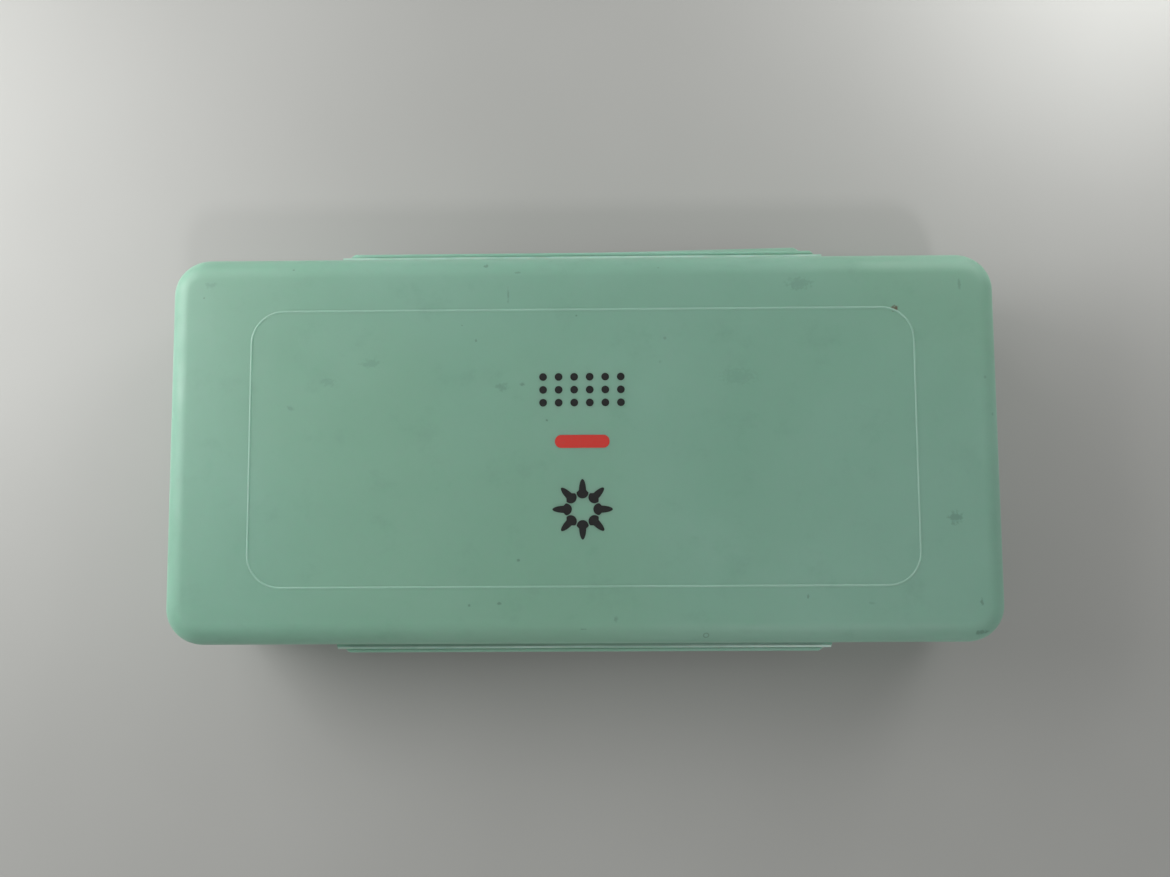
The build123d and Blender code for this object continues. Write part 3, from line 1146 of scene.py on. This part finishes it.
@dataclass
class Latches:
    """The two flaps: the front one hangs straight, and the rear one has sprung and is twisted.

    Attributes:
        twist: how far the rear flap is twisted from end to end, in degrees.
        lean: how much further it leans out in its middle than its node.
        pitch: the distance between the cuts that let it twist, in millimetres.
        shoulder: the radius between its top and its outer face, in millimetres.
        softness: the radius of its other edges.
    """

    twist: float = 9.0
    lean: float = 0.5
    pitch: float = 9.0
    shoulder: float = 1.15
    softness: float = 0.25

    def build(self) -> None:
        """Builds both flaps."""
        for side in Side:
            node = f"{side.name.lower()}_latch"
            flap = Blank.copy_of(node)
            flap.edit()
            flap.round_level(flap.bounds()[1].z, self.shoulder * MM, 6)
            flap.rest()
            flap.soften(self.softness * MM, 3)
            if side is Side.REAR:
                self.spring(flap)
            flap.finish(MintPlastic(), node, "case_plastic", [node])

    def spring(self, flap: Blank) -> None:
        """Twists a flap about its hinge.

        Args:
            flap: the flap.
        """
        low, high = flap.bounds()
        flap.edit()
        place = low.x + self.pitch * MM
        while place < high.x - self.pitch * MM / 2:
            flap.cut(Vector((place, 0, 0)), Vector((1, 0, 0)))
            place += self.pitch * MM
        flap.rest()
        hinge = Vector((0, CASE.hinge_y, CASE.hinge_z)) * MM
        deselect()
        bpy.ops.object.empty_add(location=hinge)
        axis = bpy.context.object
        flap.modifier(
            "SIMPLE_DEFORM",
            deform_method="TWIST",
            deform_axis="X",
            angle=math.radians(self.twist),
            origin=axis,
        )
        bpy.data.objects.remove(axis)
        turn = Matrix.Rotation(math.radians(self.lean), 4, "X")
        flap.shift(Matrix.Translation(hinge) @ turn @ Matrix.Translation(-hinge))


@dataclass
class Tray:
    """The lower shell.

    Attributes:
        softness: the radius of its edges, in millimetres.
    """

    softness: float = 0.25

    def build(self) -> None:
        """Builds the tray."""
        tray = Blank.copy_of("tray")
        tray.soften(self.softness * MM)
        tray.finish(MintPlastic(), "tray", "case_plastic", ["tray"])


# ---- The contents -------------------------------------------------------------------------------
@dataclass
class Palette:
    """The mixing palette that lies over the pots.

    Attributes:
        softness: the radius of its edges, in millimetres.
    """

    softness: float = 0.35

    def build(self) -> None:
        """Builds the palette."""
        palette = Blank.copy_of("palette")
        palette.soften(self.softness * MM)
        white = Moulding("white_plastic", (0.84, 0.84, 0.82), (0.76, 0.76, 0.73), 0.22, 0.1, True)
        palette.finish(white, "palette", "palette_plastic", ["palette"])


@dataclass
class Pots:
    """The pots and the paint in them.

    Attributes:
        columns: how many pots stand along the box.
        pitch_x: the distance between two along the box, in millimetres.
        pitch_y: the distance between two across it.
        softness: the radius of a pot's edges.
        shapes: how many different surfaces the paint has.
        ripple: the height of the paint's ripples, in millimetres.
        cell: the size of the paint's surface cells, in millimetres.
        richness: the power that deepens the record's colours.
    """

    columns: int = 6
    pitch_x: float = 52.4667
    pitch_y: float = 47.3333
    softness: float = 0.2
    shapes: int = 4
    ripple: float = 1.6
    cell: float = 1.3
    richness: float = 1.5

    def build(self) -> None:
        """Builds every pot and its paint."""
        paints = [m for m in frame["record"]["materials"] if m["slot"].endswith("_paint")]
        pot = Blank.copy_of("pot_01")
        pot.soften(self.softness * MM)
        surfaces = [self.surface(shape) for shape in range(self.shapes)]
        milky = Moulding("milky_plastic", (0.80, 0.81, 0.80), (0.72, 0.73, 0.71), 0.30, 0.35)
        for index, paint in enumerate(paints):
            number = f"{index + 1:02d}"
            row, column = divmod(index, self.columns)
            move = Matrix.Translation((column * self.pitch_x * MM, -row * self.pitch_y * MM, 0))
            body = f"pot_{number}"
            pot.twin(f"{body}_shell", move).finish(milky, body, "pot_plastic", [body])
            rich = tuple(share**self.richness for share in paint["base_color"])
            gouache = Gouache(f"{paint['slot']}_gouache", rich)
            fill = surfaces[(5 * index + row) % self.shapes].twin(f"paint_{number}_fill", move)
            fill.finish(gouache, body, paint["slot"], [f"paint_{number}"])
        for master in (pot, *surfaces):
            bpy.data.objects.remove(master.thing)

    def surface(self, shape: int) -> Blank:
        """Paint for the first pot, with ripples that no other shape has.

        Args:
            shape: which shape it is.

        Returns:
            The paint.
        """
        paint = Blank.copy_of("paint_01")
        paint.thing.name = f"paint_shape_{shape}"
        low, high = paint.bounds()
        paint.edit()
        for axis in (Axis.X, Axis.Y):
            normal = Vector(1.0 if i == axis.value else 0.0 for i in range(3))
            cuts = int((high - low)[axis.value] / (self.cell * MM))
            for step in range(1, cuts):
                place = low + (high - low) * (step / cuts)
                paint.cut(place, normal, high.z - TINY)
        paint.pick("VERT", self.inside(low, high))
        paint.group("skin")
        paint.rest()
        for scale, depth in ((13.0, self.ripple), (3.5, self.ripple / 3)):
            clouds = bpy.data.textures.new(f"ripple_{shape}", "CLOUDS")
            clouds.noise_scale = scale * MM
            clouds.noise_depth = 2
            paint.displace(clouds, depth * MM, Vector((shape * 0.21, shape * 0.13, 0)))
            bpy.data.textures.remove(clouds)
        return paint

    def inside(self, low: Vector, high: Vector) -> Test:
        """A test for corners on the paint's top, clear of the pot's wall.

        Args:
            low: the paint's lowest corner.
            high: its highest.

        Returns:
            The test.
        """
        edge, corner = 0.9 * MM, 6.5 * MM
        half = (high - low) / 2 - Vector((edge, edge, 0))
        middle = (low + high) / 2

        def test(corners: list[Vector]) -> bool:
            """Tells whether a face lies on the paint's top, within its round edge.

            Args:
                corners: the face's corners.

            Returns:
                Whether it does.
            """
            place = corners[0] - middle
            past = [max(0.0, abs(place[i]) - (half[i] - corner)) for i in range(2)]
            return corners[0].z > high.z - TINY and math.hypot(*past) < corner

        return test


class Head(Enum):
    """The shapes of brush head: a name, how wide the tip stays, and how far its sides fall back."""

    ROUND = ("round", 0.10, 0.0)
    FLAT = ("flat", 0.93, 0.02)
    FILBERT = ("filbert", 0.80, 0.30)


@dataclass
class Brush:
    """A brush in the palette's trough.

    Attributes:
        head: the shape of its hair.
        hairs: how many loose hairs lie over the tuft.
        seed: what the hairs' places are drawn from.
    """

    head: Head
    hairs: int = 180
    seed: int = 3

    def build(self) -> None:
        """Builds the handle, the ferrule and the hair."""
        body = f"{self.head.value[0]}_brush"
        for part, slot, finish in (
            ("handle", "handle_wood", VarnishedWood()),
            ("ferrule", "ferrule_metal", Ferrule()),
            ("bristles", "bristles", Hair()),
        ):
            node = f"{body}_{part}"
            piece = Blank.copy_of(node)
            if part == "bristles":
                piece.absorb(self.strands(node))
            piece.finish(finish, body, slot, [node])

    def strands(self, node: str) -> list[Blank]:
        """Single hairs over the tuft.

        Args:
            node: the tuft's node.

        Returns:
            The hairs.
        """
        low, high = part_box(node)
        middle, half = (low + high) / 2, (high - low) / 2
        length = half.x * 2 - 7 * MM
        deselect()
        bpy.ops.mesh.primitive_cone_add(
            vertices=3, radius1=0.11 * MM, radius2=0.02 * MM, depth=1.0, location=(0, 0, 0.5)
        )
        hair = Blank(claim("hair"))
        chance = random.Random(self.seed)
        _, close, drop = self.head.value
        made = []
        for index in range(self.hairs):
            turn = chance.uniform(0, math.tau)
            spread = 0.80 + 0.16 * chance.random()
            share = math.cos(turn) * spread
            root = Vector((low.x + 6.5 * MM, middle.y + share * half.y, 0))
            root.z = middle.z + math.sin(turn) * spread * half.z
            reach = length * (1 - drop * share * share) * chance.uniform(0.90, 0.995)
            tip = Vector((root.x + reach, middle.y + (root.y - middle.y) * close, 0))
            tip.z = middle.z + (root.z - middle.z) * min(close, 0.25)
            along = tip - root
            place = Matrix.Translation(root) @ along.to_track_quat("Z", "Y").to_matrix().to_4x4()
            stretch = Matrix.Diagonal((1, 1, along.length, 1))
            made.append(hair.twin(f"hair_{index:03d}", place @ stretch))
        bpy.data.objects.remove(hair.thing)
        return made


# ---- Print on the lid ---------------------------------------------------------------------------
@dataclass
class Prints:
    """Plain marks in ink: a bar, rows of dots and a ring of drops.

    Attributes:
        height: where the ink lies, in millimetres.
        film: how thick it is, in millimetres.
        bar_size: the bar's length and width.
        bar_corner: its corners' radius.
        dot_radius: a dot's radius.
        dot_grid: how many dots there are along X and along Y.
        dot_pitch: the distances between them.
        drops: how many drops there are.
        drop_radius: the radius of a drop's round end.
        ring_radius: how far that is from the ring's middle.
        waist: how far out a drop starts to taper.
        taper: how much it is narrowed and drawn out from there.
    """

    height: float = CASE.top
    film: float = 0.02
    bar_size: Span = (21.0, 5.0)
    bar_corner: float = 2.4
    dot_radius: float = 1.5
    dot_grid: tuple[int, int] = (6, 3)
    dot_pitch: Span = (6.0, 5.0)
    drops: int = 8
    drop_radius: float = 2.3
    ring_radius: float = 6.4
    waist: float = 6.5
    taper: Span = (0.62, 2.3)

    def build(self) -> None:
        """Prints every mark."""
        black = Ink("black_ink")
        red = Ink("red_ink", (0.50, 0.030, 0.022), (0.30, 0.08, 0.06))
        self.ring(0.0, -24.0).finish(black, "lid", "case_plastic")
        self.dots(0.0, 22.0).finish(black, "lid", "case_plastic")
        self.bar(0.0, 2.0).finish(red, "lid", "case_plastic")

    def place(self, x: float, y: float) -> Vector:
        """A place on the panel, from millimetres."""
        return Vector((x, y, self.height)) * MM

    def raise_ink(self, mark: Blank) -> Blank:
        """Gives a flat mark the ink's thickness.

        Args:
            mark: the mark.

        Returns:
            The same mark.
        """
        mark.edit()
        bpy.ops.mesh.select_all(action="SELECT")
        bpy.ops.mesh.extrude_region_move(TRANSFORM_OT_translate={"value": (0, 0, self.film * MM)})
        mark.rest()
        mark.outwards()
        return mark

    def bar(self, x: float, y: float) -> Blank:
        """Makes the red bar, with round ends.

        Args:
            x: its middle along X, in millimetres.
            y: its middle along Y.

        Returns:
            The bar.
        """
        length, width = self.bar_size
        bar = Blank.sheet("red_bar", length * MM, width * MM, self.height * MM)
        bar.shift(Matrix.Translation((x * MM, y * MM, 0)))
        bar.edit()
        bar.round_outline(self.bar_corner * MM, 8)
        bar.rest()
        return self.raise_ink(bar)

    def dots(self, x: float, y: float) -> Blank:
        """Makes rows of dots.

        Args:
            x: their middle along X, in millimetres.
            y: their middle along Y.

        Returns:
            The rows, as one piece.
        """
        (columns, rows), (along, across) = self.dot_grid, self.dot_pitch
        corner = self.place(x - along * (columns - 1) / 2, y - across * (rows - 1) / 2)
        first = Blank.disc("dot_rows", self.dot_radius * MM, corner, 24)
        others = []
        for column in range(columns):
            for row in range(rows):
                if column or row:
                    move = Matrix.Translation((column * along * MM, row * across * MM, 0))
                    others.append(first.twin(f"dot_{column}_{row}", move))
        first.absorb(others)
        return self.raise_ink(first)

    def ring(self, x: float, y: float) -> Blank:
        """Makes a ring of drops that point outwards.

        Args:
            x: its middle along X, in millimetres.
            y: its middle along Y.

        Returns:
            The ring, as one piece.
        """
        middle, waist = self.place(x, y), self.place(x, y + self.waist)
        first = Blank.disc("drop_ring", self.drop_radius * MM, self.place(x, y + self.ring_radius))
        first.edit()
        first.pick("VERT", lambda corners: corners[0].y > waist.y)
        bpy.ops.transform.resize(value=(*self.taper, 1), center_override=waist)
        first.rest()
        others = []
        for step in range(1, self.drops):
            turn = Matrix.Rotation(step * math.tau / self.drops, 4, "Z")
            move = Matrix.Translation(middle) @ turn @ Matrix.Translation(-middle)
            others.append(first.twin(f"drop_{step}", move))
        first.absorb(others)
        return self.raise_ink(first)


# ---- The studio ---------------------------------------------------------------------------------
@dataclass(frozen=True)
class Floor(Finish):
    """A plain pale table."""

    name: str = "table_top"
    dull: Colour = (0.338, 0.338, 0.323)
    clean: Colour = (0.358, 0.358, 0.343)

    def build(self, graph: Graph) -> None:
        """Makes the nodes.

        Args:
            graph: the material's nodes.
        """
        share = graph.ramp(graph.noise(5.0, 3.0, 0.5), 0.3, 0.7, 0.0, 1.0)
        graph.feed("Base Color", graph.blend(share, self.dull, self.clean))
        graph.feed("Normal", graph.relief(graph.noise(700.0, 3.0), 0.02 * MM))
        graph.set(Roughness=0.7)


@dataclass
class Lamp:
    """A soft area lamp.

    Attributes:
        name: its name.
        place: where it hangs, in metres.
        size: the length of its side, in metres.
        power: its power, in watts.
        target: what it points at.
    """

    name: str
    place: Vector
    size: float
    power: float
    target: Vector = Vector((0, 0, 0.03))

    def build(self) -> None:
        """Hangs the lamp."""
        light = bpy.data.lights.new(self.name, "AREA")
        light.size = self.size
        light.energy = self.power
        lamp = bpy.data.objects.new(self.name, light)
        lamp.location = self.place
        lamp.rotation_euler = (self.target - self.place).to_track_quat("-Z", "Y").to_euler()
        bpy.context.scene.collection.objects.link(lamp)


@dataclass
class Studio:
    """The table, the lamps and the camera over them.

    Attributes:
        lens: the camera's focal length, in millimetres.
        place: where the camera is, in metres.
        turn: how it is turned, in degrees.
        daylight: the strength of the light from all round.
        wall_paleness: how bright the walls look to the camera.
        lamps: the lamps.
    """

    lens: float = 27.05
    place: Vector = Vector((0.0044, -0.0212, 0.3869))
    turn: Triple = (4.12, 0.59, -0.33)
    daylight: float = 0.245
    wall_paleness: float = 0.62
    lamps: tuple[Lamp, ...] = (
        Lamp("key", Vector((0.52, -1.36, 1.80)), 0.28, 9.0),
        Lamp("left_window", Vector((-0.55, 0.17, 0.30)), 0.35, 3.5),
        Lamp("rear_left_window", Vector((-0.50, 0.55, 0.40)), 0.4, 1.6),
        Lamp("rear_right_window", Vector((0.50, 0.50, 0.35)), 0.3, 1.2),
        Lamp("front_fill", Vector((0.10, -0.80, 0.26)), 0.5, 0.9),
        Lamp("corner_light", Vector((0.27, 0.27, 0.13)), 0.16, 0.4, Vector((0.26, 0.24, 0))),
    )

    def build(self) -> None:
        """Sets the studio up."""
        self.table()
        self.camera()
        for lamp in self.lamps:
            lamp.build()
        self.room()
        bpy.context.scene.view_settings.view_transform = "Standard"

    def room(self) -> None:
        """Lights the room evenly, with walls that look pale to the camera."""
        world = bpy.data.worlds.new("room")
        world.use_nodes = True
        nodes, links = world.node_tree.nodes, world.node_tree.links
        back = nodes["Background"]
        back.inputs["Color"].default_value = (0.98, 1.0, 0.985, 1.0)
        rays = nodes.new("ShaderNodeLightPath")
        strength = nodes.new("ShaderNodeMapRange")
        strength.inputs["To Min"].default_value = self.daylight
        strength.inputs["To Max"].default_value = self.wall_paleness
        links.new(rays.outputs["Is Camera Ray"], strength.inputs["Value"])
        links.new(strength.outputs["Result"], back.inputs["Strength"])
        bpy.context.scene.world = world

    def table(self) -> None:
        """Lays the table top."""
        deselect()
        bpy.ops.mesh.primitive_plane_add(size=6.0, location=(0, 0, 0))
        table = claim("table_top")
        table.data.materials.append(Floor().material())

    def camera(self) -> None:
        """Sets the camera over the box."""
        data = bpy.data.cameras.new("camera")
        data.lens = self.lens
        data.sensor_width = 36.0
        data.clip_start = 0.01
        camera = bpy.data.objects.new("camera", data)
        camera.location = self.place
        camera.rotation_euler = tuple(math.radians(a) for a in self.turn)
        bpy.context.scene.collection.objects.link(camera)
        bpy.context.scene.camera = camera


def main() -> None:
    """Builds the box from its lid down, then the studio round it."""
    logging.basicConfig(level=logging.INFO, format="%(name)s: %(message)s")
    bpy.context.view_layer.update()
    for part in (Lid(), Latches(), Tray(), Palette(), Pots(), Prints()):
        part.build()
    for seed, head in enumerate(Head):
        Brush(head, seed=seed + 3).build()
    Studio().build()


if __name__ == "__main__":
    main()
